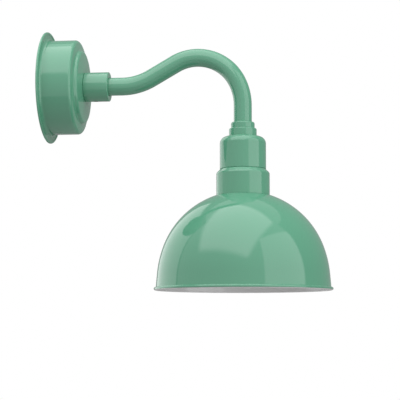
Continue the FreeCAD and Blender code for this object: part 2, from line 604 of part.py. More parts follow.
def thread_outline(top_z, bottom_z, outer_crest, inner_plain, outer_root):
    """Section of a thin threaded sleeve, its rolled thread drawn as rings at the lamp's pitch."""
    turns = int((top_z - bottom_z) / LAMP_PITCH)
    points = [(top_z, inner_plain), (top_z, outer_root)]
    for i in range(turns):
        crest_z = top_z - (i + 0.5) * LAMP_PITCH
        points += [(crest_z + 0.9, outer_root), (crest_z, outer_crest, 0.5), (crest_z - 0.9, outer_root)]
    points += [(bottom_z, outer_root), (bottom_z, inner_plain)]
    return points


def centre_contact():
    """Sprung brass tongue on the lampholder's floor, under the lamp's tip."""
    floor = HOLDER_FLOOR_Z
    outline = [(-9, floor), (-4, floor), (3, floor - 2.6), (6, floor - 2.6),
               (6, floor - 3.2), (2.8, floor - 3.2), (-4.2, floor - 0.6), (-9, floor - 0.6)]
    corners = [on_shade_axis(z, x, -3) for x, z in outline]
    return Part.Face(Part.makePolygon(corners + corners[:1])).extrude(V(0, 6, 0))


def shade_neck():
    inner_r = NECK_R - NECK_T
    throat = HOLDER_R + 0.8
    neck = turned_on_z([
        (CAP_BOTTOM_Z, throat), (CAP_BOTTOM_Z, NECK_SEAT_R, 0.5), (NECK_SHOULDER_Z, NECK_R, NECK_SHOULDER_R),
        (dome_height(NECK_R) + 0.05, NECK_R), (dome_height(inner_r) + 0.05, inner_r),
        (NECK_SHOULDER_Z - 0.5, inner_r, NECK_SHOULDER_R - NECK_T), (CAP_BOTTOM_Z - NECK_T, NECK_SEAT_R - 0.5, 0.5),
        (CAP_BOTTOM_Z - NECK_T, throat)])
    for side in (-1, 1):
        foot = on_shade_axis(CAP_BOTTOM_Z - 3, side * CAP_SCREW_OFFSET)
        neck = neck.cut(rod(CAP_SCREW_R + HOLE_CLEAR, foot, foot + V(0, 0, 5)))
    return neck


def dome_height(radius):
    return DOME_CENTRE_Z + math.sqrt(DOME_R ** 2 - radius ** 2)


def shade():
    """Spun dome: a short collar inside the neck, the crown, the flank, a drafted skirt and a rolled bead."""
    bead_major = RIM_RADIUS - BEAD_R
    join, knee_angle = math.radians(DOME_END_DEG), math.radians(90 - SKIRT_DRAFT_DEG)
    shift = FLANK_R - DOME_R

    def crown_at(radius, angle):
        return on_shade_axis(DOME_CENTRE_Z + radius * math.cos(angle), radius * math.sin(angle))

    def flank_at(radius, angle):
        return on_shade_axis(DOME_CENTRE_Z - shift * math.cos(join) + radius * math.cos(angle),
                             -shift * math.sin(join) + radius * math.sin(angle))

    def side(inset, collar_r):
        """One face of the sheet, from the collar's top down to the bead."""
        crown_r, flank_r = DOME_R - inset, FLANK_R - inset
        start = math.asin(collar_r / crown_r)
        top, seam, knee = crown_at(crown_r, start), crown_at(crown_r, join), flank_at(flank_r, knee_angle)
        drop = knee.z - (BEAD_Z + BEAD_R * 0.55)
        foot = knee + V(drop / math.tan(knee_angle), 0, -drop)
        edges = [
            Part.LineSegment(on_shade_axis(SHADE_COLLAR_TOP_Z, collar_r), top).toShape(),
            Part.Arc(top, crown_at(crown_r, (start + join) / 2), seam).toShape(),
            Part.Arc(seam, flank_at(flank_r, (join + knee_angle) / 2), knee).toShape(),
            Part.LineSegment(knee, foot).toShape()]
        return edges, foot

    outer, outer_foot = side(0, SHADE_COLLAR_R)
    inner, inner_foot = side(SHADE_T, SHADE_COLLAR_R - SHADE_T)
    top = Part.LineSegment(on_shade_axis(SHADE_COLLAR_TOP_Z, SHADE_COLLAR_R),
                           on_shade_axis(SHADE_COLLAR_TOP_Z, SHADE_COLLAR_R - SHADE_T))
    bottom = Part.LineSegment(outer_foot, inner_foot)
    face = Part.Face(Part.Wire(Part.__sortEdges__(outer + inner + [top.toShape(), bottom.toShape()])))
    shell = face.revolve(on_shade_axis(0), Z_AXIS, 360)
    bead = Part.makeTorus(bead_major, BEAD_R, on_shade_axis(BEAD_Z), Z_AXIS)
    bead = bead.cut(Part.makeCylinder(BEAD_OPENING_R, 4 * BEAD_R, on_shade_axis(BEAD_Z - 2 * BEAD_R), Z_AXIS))
    return shell.fuse(bead).removeSplitter()


# ---- lamp ----

def lamp_seal():
    """Soft ring between the lampholder's mouth and the lamp; it comes down with the lamp."""
    top, bottom = HOLDER_MOUTH_Z - 0.3, LAMP_COLLAR_Z + 0.1
    return turned_on_z([(top, SEAL_IN_R), (top, SEAL_OUT_R, 0.6), (bottom, SEAL_OUT_R, 0.6), (bottom, SEAL_IN_R)])


def lamp_tip():
    foot = LAMP_TIP_Z - LAMP_TIP_T
    return turned_on_z([(LAMP_TIP_Z, 0), (LAMP_TIP_Z, LAMP_TIP_R, 0.7), (foot, LAMP_TIP_R), (foot, 0)])


def lamp_insulator():
    top = LAMP_TIP_Z - LAMP_TIP_T
    bottom = top - INSULATOR_T
    return turned_on_z([(top, 0), (top, INSULATOR_TOP_R), (top - INSULATOR_CONE_T, INSULATOR_R),
                        (bottom, INSULATOR_R), (bottom, 0)])


def lamp_cap():
    top = LAMP_TIP_Z - LAMP_TIP_T - INSULATOR_CONE_T
    return turned_on_z(thread_outline(top, LAMP_CAP_BOTTOM_Z, LAMP_CAP_R, LAMP_CAP_IN_R, LAMP_CAP_ROOT_R))


def lamp_housing():
    """White heat-spreading body between the screw cap and the globe."""
    seam_r = math.sqrt(GLOBE_R ** 2 - (GLOBE_SEAM_Z - GLOBE_Z) ** 2)
    return turned_on_z([
        (LAMP_CAP_BOTTOM_Z, LAMP_BORE_R), (LAMP_CAP_BOTTOM_Z, LAMP_NECK_R), (LAMP_COLLAR_Z, LAMP_NECK_R),
        (LAMP_COLLAR_Z, LAMP_COLLAR_R, 0.8), (LAMP_WAIST_Z, LAMP_WAIST_R, 30.0), (GLOBE_SEAM_Z, seam_r),
        (GLOBE_SEAM_Z, seam_r - LAMP_WALL), (LAMP_WAIST_Z, LAMP_WAIST_R - 1.6, 30.0),
        (LAMP_COLLAR_Z - 1.6, LAMP_COLLAR_R - 1.4), (LAMP_COLLAR_Z - 1.6, LAMP_BORE_R)])


def lamp_globe():
    """Opal globe, open where it meets the housing."""
    rise = GLOBE_SEAM_Z - GLOBE_Z
    inner_r = GLOBE_R - LAMP_WALL

    def at(radius, angle):
        return on_shade_axis(GLOBE_Z + radius * math.sin(angle), radius * math.cos(angle))

    outer_start, inner_start = math.asin(rise / GLOBE_R), math.asin(rise / inner_r)
    bottom = -math.pi / 2
    edges = [
        Part.Arc(at(GLOBE_R, outer_start), at(GLOBE_R, (outer_start + bottom) / 2), at(GLOBE_R, bottom)).toShape(),
        Part.LineSegment(at(GLOBE_R, bottom), at(inner_r, bottom)).toShape(),
        Part.Arc(at(inner_r, bottom), at(inner_r, (inner_start + bottom) / 2), at(inner_r, inner_start)).toShape(),
        Part.LineSegment(at(inner_r, inner_start), at(GLOBE_R, outer_start)).toShape()]
    return Part.Face(Part.Wire(edges)).revolve(on_shade_axis(0), Z_AXIS, 360)


SINGLE_PIECES = [
    mounting_plate, wall_gasket, canopy, terminal_block, block_screw, ground_screw, ground_terminal,
    ground_lead, backing_disc, hub_washer, hub_locknut, hub, arm_set_screw, cable_bush,
    gooseneck_tube, arm_cable, tube_collar, lock_ring, nipple, cap_seal, socket_cap, holder_strap,
    nipple_nut, lampholder_body, screw_shell, centre_contact, shade_neck, shade,
    lamp_seal, lamp_tip, lamp_insulator, lamp_cap, lamp_housing, lamp_globe]
GROUPED_PIECES = [canopy_nuts, canopy_set_screws, terminal_screws, cap_screws, strap_screws]

for make in SINGLE_PIECES:
    export(make.__name__, make())
for make in GROUPED_PIECES:
    export(make.__name__, *make())
export("line_lead", pole_lead(-1, 150))
export("neutral_lead", pole_lead(1, 30))
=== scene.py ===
import math

import bmesh
import bpy
from mathutils import Matrix, Vector


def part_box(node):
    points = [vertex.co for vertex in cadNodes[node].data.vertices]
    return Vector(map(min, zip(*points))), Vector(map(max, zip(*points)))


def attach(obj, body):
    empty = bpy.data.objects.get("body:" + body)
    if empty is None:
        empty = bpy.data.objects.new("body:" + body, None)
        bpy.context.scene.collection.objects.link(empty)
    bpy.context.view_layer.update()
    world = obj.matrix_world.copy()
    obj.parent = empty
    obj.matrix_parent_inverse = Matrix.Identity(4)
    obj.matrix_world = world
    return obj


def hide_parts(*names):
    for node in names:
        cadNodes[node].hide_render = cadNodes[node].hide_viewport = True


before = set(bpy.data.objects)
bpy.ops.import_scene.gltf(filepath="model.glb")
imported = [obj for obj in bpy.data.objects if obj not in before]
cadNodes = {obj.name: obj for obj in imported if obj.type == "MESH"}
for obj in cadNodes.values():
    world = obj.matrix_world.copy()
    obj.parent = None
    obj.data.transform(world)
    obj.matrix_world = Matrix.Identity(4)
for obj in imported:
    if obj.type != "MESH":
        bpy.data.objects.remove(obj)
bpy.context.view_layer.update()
mm = 0.001


def boxMiddle(node):
    low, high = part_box(node)
    return (low + high) / 2


def ringSize(node):
    # top, bottom and radius of a node that is round about the shade's axis
    low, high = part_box(node)
    return high.z / mm, low.z / mm, (high.x - low.x) / 2 / mm


shadeX = boxMiddle("lock_ring").x        # the neck, shade and lamp share this vertical axis


# ---- working with meshes ----

def deselectAll():
    bpy.ops.object.select_all(action="DESELECT")


def activate(piece):
    deselectAll()
    piece.select_set(True)
    bpy.context.view_layer.objects.active = piece


def editPiece(piece):
    activate(piece)
    bpy.ops.object.mode_set(mode="EDIT")
    bpy.ops.mesh.select_mode(type="VERT")


def leaveEdit():
    bpy.ops.object.mode_set(mode="OBJECT")


def newPiece(name):
    # names the primitive that was just added and puts its place into its mesh
    piece = bpy.context.active_object
    piece.name = name
    bpy.ops.object.transform_apply(location=True, rotation=True, scale=True)
    return piece


def pickVerts(piece, test):
    # edit mode: leaves selected only the vertices that pass the test
    bpy.ops.mesh.select_mode(type="VERT")
    bpy.ops.mesh.select_all(action="DESELECT")
    mesh = bmesh.from_edit_mesh(piece.data)
    for vert in mesh.verts:
        if test(vert.co):
            vert.select_set(True)
    mesh.select_flush_mode()
    bmesh.update_edit_mesh(piece.data)


def pickFaces(piece, test):
    # edit mode: leaves selected only the faces whose middle and normal pass the test
    bpy.ops.mesh.select_mode(type="FACE")
    bpy.ops.mesh.select_all(action="DESELECT")
    mesh = bmesh.from_edit_mesh(piece.data)
    for face in mesh.faces:
        if test(face.calc_center_median(), face.normal):
            face.select_set(True)
    bmesh.update_edit_mesh(piece.data)


def applyModifier(piece, kind, **settings):
    activate(piece)
    bpy.ops.object.modifier_add(type=kind)
    modifier = piece.modifiers[-1]
    for setting, value in settings.items():
        setattr(modifier, setting, value)
    bpy.ops.object.modifier_apply(modifier=modifier.name)


def smoothOff(piece, sharpDegrees=32):
    # flat stretches stay flat and rounded corners shade smoothly between them
    activate(piece)
    bpy.ops.object.shade_smooth_by_angle(angle=math.radians(sharpDegrees))
    applyModifier(piece, "WEIGHTED_NORMAL", keep_sharp=True, weight=60)


def cutAway(piece, cutter):
    applyModifier(piece, "BOOLEAN", operation="DIFFERENCE", object=cutter, solver="EXACT")
    bpy.data.objects.remove(cutter)


def addOn(piece, boss):
    applyModifier(piece, "BOOLEAN", operation="UNION", object=boss, solver="EXACT")
    bpy.data.objects.remove(boss)


def pinAt(radius, depth, location, rotation=(0, 0, 0), sides=48):
    # a plain round bar, used to drill or to build up a casting
    deselectAll()
    bpy.ops.mesh.primitive_cylinder_add(vertices=sides, radius=radius * mm, depth=depth * mm,
                                        location=location, rotation=rotation)
    return newPiece("pin")


def closeTo(target):
    return lambda place: (place - target).length < 1e-6


def hubPlace(along, radius):
    return Vector((along * mm, 0, radius * mm))


def shadePlace(along, radius):
    return Vector((shadeX + radius * mm, 0, along * mm))


axes = {
    "hub": {"place": hubPlace, "centre": (0, 0, 0), "axis": (1, 0, 0)},
    "shade": {"place": shadePlace, "centre": (shadeX, 0, 0), "axis": (0, 0, 1)},
}


def drawOutline(outline, place, arcStep):
    # extrudes one vertex from point to point; ("arc", centre, degrees) swings it about a centre
    corners = [(place(*outline[0][:2]), outline[0][2] if len(outline[0]) > 2 else 0)]
    for step in outline[1:]:
        last = corners[-1][0]
        if step[0] == "arc":
            centre, turn = place(*step[1]), math.radians(step[2])
            steps = math.ceil((last - centre).length / mm * abs(turn) / arcStep)
            bpy.ops.mesh.spin(steps=steps, angle=-turn, center=centre, axis=(0, 1, 0))
            corners.append((centre + Matrix.Rotation(turn, 3, "Y") @ (last - centre), 0))
        else:
            target = place(step[0], step[1])
            bpy.ops.mesh.extrude_region_move(TRANSFORM_OT_translate={"value": target - last})
            corners.append((target, step[2] if len(step) > 2 else 0))
    return corners


def turned(name, outline, about="shade", steps=120, cornerDegrees=8, arcStep=2.2):
    # draws the outline, rounds its corners and spins it once round
    lathe = axes[about]
    deselectAll()
    bpy.ops.mesh.primitive_plane_add(size=mm, location=lathe["place"](*outline[0][:2]))
    piece = newPiece(name)
    editPiece(piece)
    bpy.ops.mesh.select_all(action="SELECT")
    bpy.ops.mesh.merge(type="CENTER")
    corners = drawOutline(outline, lathe["place"], arcStep)
    first, last = corners[0][0], corners[-1][0]
    if outline[0][1] > 0:           # an outline that starts on the axis also ends on it, and stays open
        pickVerts(piece, lambda place: closeTo(first)(place) or closeTo(last)(place))
        bpy.ops.mesh.edge_face_add()
    for i, (corner, radius) in enumerate(corners):
        if radius == 0:
            continue
        before, after = corners[i - 1][0] - corner, corners[(i + 1) % len(corners)][0] - corner
        turn = math.pi - before.angle(after)
        segments = max(math.ceil(turn / math.radians(cornerDegrees)), math.ceil(radius * turn / arcStep))
        pickVerts(piece, closeTo(corner))
        bpy.ops.mesh.bevel(offset=radius * mm * math.tan(turn / 2), segments=segments, affect="VERTICES")
    bpy.ops.mesh.select_all(action="SELECT")
    bpy.ops.mesh.spin(steps=steps, angle=math.tau, center=lathe["centre"], axis=lathe["axis"])
    bpy.ops.mesh.select_all(action="SELECT")
    bpy.ops.mesh.remove_doubles(threshold=2e-6)
    bpy.ops.mesh.normals_make_consistent(inside=False)
    leaveEdit()
    return piece


def ridesAs(piece, body, slotName, *replaced):
    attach(piece, body)
    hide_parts(*replaced)


def finishPiece(piece, body, slotName, finish, *replaced):
    piece.data.materials.clear()
    piece.data.materials.append(finish)
    ridesAs(piece, body, slotName, *replaced)


# ---- finishes ----

class Wire:
    # the output of a node; sums and products of wires and numbers add their own Math nodes
    def __init__(self, nodes, socket):
        self.nodes, self.socket = nodes, socket

    def __add__(self, other):
        return self.nodes.maths("ADD", self, other)

    def __mul__(self, other):
        return self.nodes.maths("MULTIPLY", self, other)

    __radd__, __rmul__ = __add__, __mul__


class Nodes:
    # the node tree of a finish, a lamp or the world
    def __init__(self, tree):
        self.tree = tree

    def node(self, kind, settings=None, values=None, output=0):
        made = self.tree.nodes.new(kind)
        for setting, value in (settings or {}).items():
            setattr(made, setting, value)
        for socket, value in (values or {}).items():
            if isinstance(value, Wire):
                self.tree.links.new(value.socket, made.inputs[socket])
            else:
                made.inputs[socket].default_value = value
        return Wire(self, made.outputs[output])

    def maths(self, operation, first, second):
        return self.node("ShaderNodeMath", {"operation": operation}, {0: first, 1: second})


class Finish(Nodes):
    # one node material; settings that are the same all over go on the shader's own sockets
    def __init__(self, name, **constants):
        self.material = bpy.data.materials.new(name)
        self.material.use_nodes = True
        super().__init__(self.material.node_tree)
        self.shader = self.tree.nodes["Principled BSDF"]
        for socket, value in constants.items():
            self.shader.inputs[socket.replace("_", " ")].default_value = value

    def drive(self, socket, wire):
        self.tree.links.new(wire.socket, self.shader.inputs[socket])

    def place(self, stretch=(1, 1, 1)):
        spot = self.node("ShaderNodeTexCoord", output="Object")
        return self.node("ShaderNodeMapping", values={"Vector": spot, "Scale": stretch})

    def noise(self, scale, detail=2.0, roughness=0.5, stretch=(1, 1, 1)):
        return self.node("ShaderNodeTexNoise", values={
            "Vector": self.place(stretch), "Scale": scale, "Detail": detail, "Roughness": roughness})

    def between(self, low, high, factor):
        # a colour that wanders between two; a Mix node has its colours at sockets 6 and 7, and its result at 2
        return self.node("ShaderNodeMix", {"data_type": "RGBA"}, {0: factor, 6: low, 7: high}, output=2)

    def bump(self, height, distance, strength):
        self.drive("Normal", self.node("ShaderNodeBump", values={
            "Height": height, "Distance": distance, "Strength": strength}))


greens = {"deep": (0.096, 0.312, 0.197, 1), "pale": (0.106, 0.326, 0.208, 1), "gloss": 0.055, "glossSpread": 0.03}
whites = {"deep": (0.72, 0.72, 0.72, 1), "pale": (0.78, 0.78, 0.78, 1), "gloss": 0.09, "glossSpread": 0.05}
enamelValues = {"drift": 14, "patches": 60, "peel": 420, "ripple": 110, "height": 0.00001, "strength": 0.35}


def enamel(name, look):
    # fired gloss enamel: a slow drift of colour, patches that are a little less glossy, and a faint orange peel
    v = enamelValues
    finish = Finish(name, IOR=1.55)
    drift = finish.noise(v["drift"], 3, 0.55)
    finish.drive("Base Color", finish.between(look["deep"], look["pale"], drift))
    finish.drive("Roughness", finish.noise(v["patches"], 2) * look["glossSpread"] + look["gloss"])
    peel = finish.noise(v["peel"], 1.5) + finish.noise(v["ripple"], 1) * 0.6
    finish.bump(peel, v["height"], v["strength"])
    return finish.material


def plating(name, colour, tint, roughness, grain=(1, 1, 1), scale=900, spangle=35):
    # plated metal: fine grain, cloudy patches and dull spots
    finish = Finish(name, Metallic=1.0)
    clouds = finish.noise(spangle, 4, 0.6)
    fine = finish.noise(scale, 2, 0.5, grain)
    finish.drive("Base Color", finish.between(colour, tint, clouds))
    finish.drive("Roughness", clouds * 0.14 + fine * 0.10 + roughness)
    finish.bump(fine, 0.00002, 0.25)
    return finish.material


def moulded(name, colour, tint, roughness, scale=500, depth=0.00003, ior=1.48):
    # plastic, rubber or glaze: small drift of colour, and a texture from the mould
    finish = Finish(name, IOR=ior)
    cloud = finish.noise(25, 3)
    skin = finish.noise(scale, 3, 0.6)
    finish.drive("Base Color", finish.between(colour, tint, cloud))
    finish.drive("Roughness", skin * 0.12 + roughness)
    finish.bump(skin, depth, 0.4)
    return finish.material


def foam(name, colour, tint):
    # closed-cell foam: small dark cells with pale walls
    finish = Finish(name)
    cells = finish.node("ShaderNodeTexVoronoi", values={"Vector": finish.place(), "Scale": 1400})
    finish.drive("Base Color", finish.between(colour, tint, cells))
    finish.drive("Roughness", cells * 0.1 + 0.85)
    finish.bump(cells, 0.0002, 0.7)
    return finish.material


def opalGlass(name):
    # milky glass: a bright body under a clear skin, thinner and a little warmer in patches
    finish = Finish(name, IOR=1.5, Subsurface_Weight=0.25, Subsurface_Scale=0.004)
    milk = finish.noise(30, 2)
    finish.drive("Base Color", finish.between((0.84, 0.84, 0.82, 1), (0.88, 0.88, 0.86, 1), milk))
    finish.drive("Roughness", milk * 0.06 + 0.16)
    return finish.material


green = enamel("green enamel", greens)
white = enamel("white enamel", whites)
zinc = plating("zinc plated steel", (0.52, 0.53, 0.55, 1), (0.66, 0.67, 0.66, 1), 0.22)
brass = plating("brass", (0.72, 0.52, 0.24, 1), (0.80, 0.62, 0.32, 1), 0.18)
nickel = plating("nickel plate", (0.62, 0.60, 0.56, 1), (0.72, 0.70, 0.66, 1), 0.12)
blackOxide = plating("black oxide", (0.030, 0.030, 0.034, 1), (0.060, 0.060, 0.064, 1), 0.35)
porcelain = moulded("glazed porcelain", (0.80, 0.78, 0.73, 1), (0.84, 0.82, 0.78, 1), 0.10, 90, 0.00002, 1.52)
blackPlastic = moulded("black nylon", (0.020, 0.020, 0.021, 1), (0.032, 0.032, 0.033, 1), 0.42)
terminalPlastic = moulded("terminal plastic", (0.66, 0.64, 0.58, 1), (0.74, 0.72, 0.66, 1), 0.38)
silicone = moulded("silicone", (0.60, 0.60, 0.58, 1), (0.68, 0.68, 0.66, 1), 0.48, 300)
jacket = moulded("cable jacket", (0.018, 0.018, 0.019, 1), (0.030, 0.030, 0.031, 1), 0.50, 700)
blackWire = moulded("black insulation", (0.012, 0.012, 0.013, 1), (0.022, 0.022, 0.023, 1), 0.30)
whiteWire = moulded("white insulation", (0.74, 0.74, 0.71, 1), (0.80, 0.80, 0.78, 1), 0.30)
greenWire = moulded("green insulation", (0.015, 0.16, 0.045, 1), (0.025, 0.20, 0.060, 1), 0.30)
lampPlastic = moulded("lamp housing plastic", (0.74, 0.74, 0.73, 1), (0.80, 0.80, 0.79, 1), 0.30)
blackGlass = moulded("black vitrite", (0.010, 0.010, 0.011, 1), (0.020, 0.020, 0.021, 1), 0.12, 120)
gasketFoam = foam("grey foam", (0.035, 0.035, 0.037, 1), (0.13, 0.13, 0.135, 1))
opal = opalGlass("opal glass")
print("finishes made")


# ---- canopy on the wall ----

canopyValues = {
    "lipRadius": 64.0, "lipDepth": 2.4, "lipInside": 61.6,
    "drumRadius": 54.0, "drumFront": 37.0, "drumCorner": 4.0, "flangeFront": 1.8, "flangeBack": 1.0,
    "discFoot": (38.4, 42.6), "discShoulder": (42.2, 40.9), "faceX": 43.4, "flatRadius": 22.0,
    "hole": 12.15, "sheet": 1.0, "nutX": 12.0, "nutHole": 4.0}


def makeCanopy():
    v = canopyValues
    footX, footR = v["discFoot"]
    shoulderX, shoulderR = v["discShoulder"]
    sheet, faceBack, inside = v["sheet"], v["faceX"] - v["sheet"], v["drumRadius"] - v["sheet"]
    canopy = turned("wallCanopy", [
        (0, v["lipInside"], 0.3), (0, v["lipRadius"], 0.9), (v["lipDepth"], v["lipRadius"], 1.1),
        (v["lipDepth"], v["lipInside"] - 0.1, 0.5), (v["flangeFront"], 61.0, 0.3),
        (v["flangeFront"], v["drumRadius"], 3.4), (v["drumFront"], v["drumRadius"], v["drumCorner"]),
        (footX, footR, 1.4), (shoulderX, shoulderR, 2.8), (v["faceX"], v["flatRadius"], 14.0),
        (v["faceX"], v["hole"]), (faceBack, v["hole"]), (faceBack, v["flatRadius"], 13.0),
        (shoulderX - sheet, shoulderR - sheet, 1.8), (footX - sheet, footR - 0.8, 2.4),
        (v["drumFront"] - sheet, inside, v["drumCorner"] - sheet), (v["flangeBack"], inside, 4.2),
        (v["flangeBack"], v["lipInside"], 0.3)], about="hub", steps=192)
    for side in (-1, 1):
        cutAway(canopy, pinAt(v["nutHole"], 6, (v["nutX"] * mm, 0, side * v["drumRadius"] * mm)))
    smoothOff(canopy)
    finishPiece(canopy, "wall_canopy", "green_enamel", green, "canopy")


gasketValues = {"width": 6.0, "edge": 0.2}


def makeGasket():
    v = gasketValues
    low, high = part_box("wall_gasket")
    outer, thick = high.z / mm, high.x / mm
    inner = outer - v["width"]
    gasket = turned("wallGasket", [
        (0, inner, v["edge"]), (0, outer, v["edge"]), (thick, outer, v["edge"]), (thick, inner, v["edge"])],
        about="hub", steps=128)
    smoothOff(gasket)
    finishPiece(gasket, "wall_canopy", "grey_foam", gasketFoam, "wall_gasket")


hubValues = {"radius": 16.8, "end": 71.4, "seat": 43.4, "spigotRadius": 12.0, "spigotEnd": 31.0, "throat": 8.0,
             "bore": 10.25, "boreStart": 44.0, "edge": 0.8, "chamfer": 0.9, "screwX": 56.0, "screwHole": 2.55}


def makeHub():
    v = hubValues
    hub = turned("armHub", [
        (v["spigotEnd"], v["throat"]), (v["spigotEnd"], v["spigotRadius"], 0.6), (v["seat"], v["spigotRadius"]),
        (v["seat"], v["radius"] - 0.5), (v["seat"] + 0.5, v["radius"], 0.4), (v["end"], v["radius"], v["edge"]),
        (v["end"], v["bore"] + v["chamfer"], 0.3), (v["end"] - v["chamfer"], v["bore"]), (v["boreStart"], v["bore"]),
        (v["boreStart"], v["throat"])], about="hub", steps=112)
    depth = v["radius"] - v["bore"] + 4
    cutAway(hub, pinAt(v["screwHole"], depth, (v["screwX"] * mm, 0, -(v["bore"] + depth / 2 - 1) * mm)))
    smoothOff(hub)
    finishPiece(hub, "wall_canopy", "green_enamel", green, "hub")


makeCanopy()
makeGasket()
makeHub()
print("canopy and hub made")


# ---- gooseneck ----

gooseneckValues = {
    "radius": 10.2, "wall": 1.5, "start": 44.2, "riseStart": 86.5, "riseRadius": 67.3, "rise": 29.9,
    "crownRadius": 50.8, "crownEnd": 61.9, "dropRadius": 61.2, "end": -47.0,
    "slot": (53.9, 58.1), "slotReach": 105.0, "sides": 72, "degreesPerRing": 2.0}


def makeGooseneck():
    v = gooseneckValues
    rise, crown = math.radians(v["rise"]), math.radians(v["crownEnd"])
    bendsX = (v["riseRadius"] * math.sin(rise) + v["crownRadius"] * (math.sin(rise) + math.sin(crown))
              + v["dropRadius"] * (1 - math.sin(crown)))
    climb = (shadeX / mm - v["riseStart"] - bendsX) / math.cos(rise)
    deselectAll()
    bpy.ops.mesh.primitive_circle_add(vertices=v["sides"], radius=v["radius"] * mm, fill_type="NOTHING",
                                      location=(v["start"] * mm, 0, 0), rotation=(0, math.pi / 2, 0))
    tube = newPiece("gooseneck")
    editPiece(tube)
    bpy.ops.mesh.select_all(action="SELECT")
    spot = {"place": Vector((v["start"] * mm, 0, 0)), "heading": 0.0}

    def run(length):
        step = Vector((math.cos(spot["heading"]), 0, math.sin(spot["heading"]))) * length * mm
        bpy.ops.mesh.extrude_region_move(TRANSFORM_OT_translate={"value": step})
        spot["place"] = spot["place"] + step

    def bend(radius, heading):
        # positive turns climb, negative ones dive
        turn = heading - spot["heading"]
        side = math.copysign(1, turn)
        across = Vector((-math.sin(spot["heading"]), 0, math.cos(spot["heading"])))
        centre = spot["place"] + across * side * radius * mm
        rings = math.ceil(math.degrees(abs(turn)) / v["degreesPerRing"])
        bpy.ops.mesh.spin(steps=rings, angle=turn, center=centre, axis=(0, 1, 0))
        newAcross = Vector((-math.sin(heading), 0, math.cos(heading)))
        spot.update(place=centre - newAcross * side * radius * mm, heading=heading)

    for stop in (*v["slot"], v["riseStart"]):
        run(stop - spot["place"].x / mm)
    bend(v["riseRadius"], rise)
    run(climb)
    bend(v["crownRadius"], -crown)
    bend(v["dropRadius"], -math.pi / 2)
    run(spot["place"].z / mm - v["end"])
    bpy.ops.mesh.select_all(action="SELECT")
    bpy.ops.mesh.remove_doubles(threshold=1e-6)
    bpy.ops.mesh.normals_make_consistent(inside=False)
    low, high = (x * mm for x in v["slot"])

    def inSlot(middle, normal):
        under = math.degrees(math.atan2(middle.y, -middle.z))
        return low < middle.x < high and abs(under) < v["slotReach"]

    pickFaces(tube, inSlot)
    bpy.ops.mesh.delete(type="FACE")
    leaveEdit()
    applyModifier(tube, "SOLIDIFY", thickness=v["wall"] * mm, offset=-1, use_even_offset=True)
    bpy.ops.object.shade_smooth_by_angle(angle=math.radians(40))
    finishPiece(tube, "arm", "green_enamel", green, "gooseneck_tube")


collarValues = {
    "tubeGap": 0.02, "endGap": 0.05, "nippleBore": 8.25, "collarTop": 1.9, "collarFoot": 0.5,
    "lockTop": 1.3, "lockFoot": 0.4}


def makeCollars():
    # the collar at the tube's end and the lock ring under it
    v = collarValues
    tubeOuter, bore = gooseneckValues["radius"] + v["tubeGap"], v["nippleBore"]
    step = gooseneckValues["end"] - v["endGap"]
    top, bottom, radius = ringSize("tube_collar")
    collar = turned("tubeCollar", [
        (top, tubeOuter), (top, radius, v["collarTop"]), (bottom, radius, v["collarFoot"]), (bottom, bore),
        (step, bore), (step, tubeOuter)], steps=96)
    smoothOff(collar)
    finishPiece(collar, "arm", "green_enamel", green, "tube_collar")
    top, bottom, radius = ringSize("lock_ring")
    lock = turned("lockRing", [
        (top, bore), (top, radius, v["lockTop"]), (bottom, radius, v["lockFoot"]), (bottom, bore)], steps=96)
    smoothOff(lock)
    finishPiece(lock, "arm", "green_enamel", green, "lock_ring")


makeGooseneck()
makeCollars()
print("gooseneck made")


# ---- neck ----

neckValues = {
    "capTop": -60.6, "capBottom": -97.4, "capRadius": 26.0, "capCorner": 8.0, "capWall": 2.5, "capTopWall": 3.0,
    "nippleHole": 8.25, "sealIn": 10.6, "sealOut": 13.6, "sealDepth": 1.2,
    "bossOffset": 20.6, "bossRadius": 3.2, "bossLength": 18.0, "tapRadius": 1.5, "tapDepth": 14.0, "screwHole": 1.6,
    "neckRadius": 30.0, "neckWall": 1.2, "seatRadius": 25.4, "shoulder": -101.9, "shoulderCorner": 3.2,
    "throat": 17.8, "domeGap": 0.05}


def makeSocketCap():
    v = neckValues
    inside, innerTop = v["capRadius"] - v["capWall"], v["capTop"] - v["capTopWall"]
    groove = v["capTop"] - v["sealDepth"]
    cap = turned("neckCap", [
        (v["capTop"], v["nippleHole"]), (v["capTop"], v["sealIn"]), (groove, v["sealIn"]), (groove, v["sealOut"]),
        (v["capTop"], v["sealOut"]), (v["capTop"], v["capRadius"], v["capCorner"]),
        (v["capBottom"], v["capRadius"], 0.25), (v["capBottom"], inside, 0.25), (innerTop, inside, 4.0),
        (innerTop, v["nippleHole"])], steps=128, cornerDegrees=6)
    for side in (-1, 1):
        x = shadeX + side * v["bossOffset"] * mm
        boss = pinAt(v["bossRadius"], v["bossLength"], (x, 0, (v["capBottom"] + v["bossLength"] / 2) * mm))
        addOn(cap, boss)
        cutAway(cap, pinAt(v["tapRadius"], 2 * v["tapDepth"], (x, 0, v["capBottom"] * mm), sides=32))
    smoothOff(cap)
    finishPiece(cap, "shade_head", "green_enamel", green, "socket_cap")


def domeHeight(radius):
    return shadeValues["crownCentre"] + math.sqrt(shadeValues["crownRadius"] ** 2 - radius ** 2)


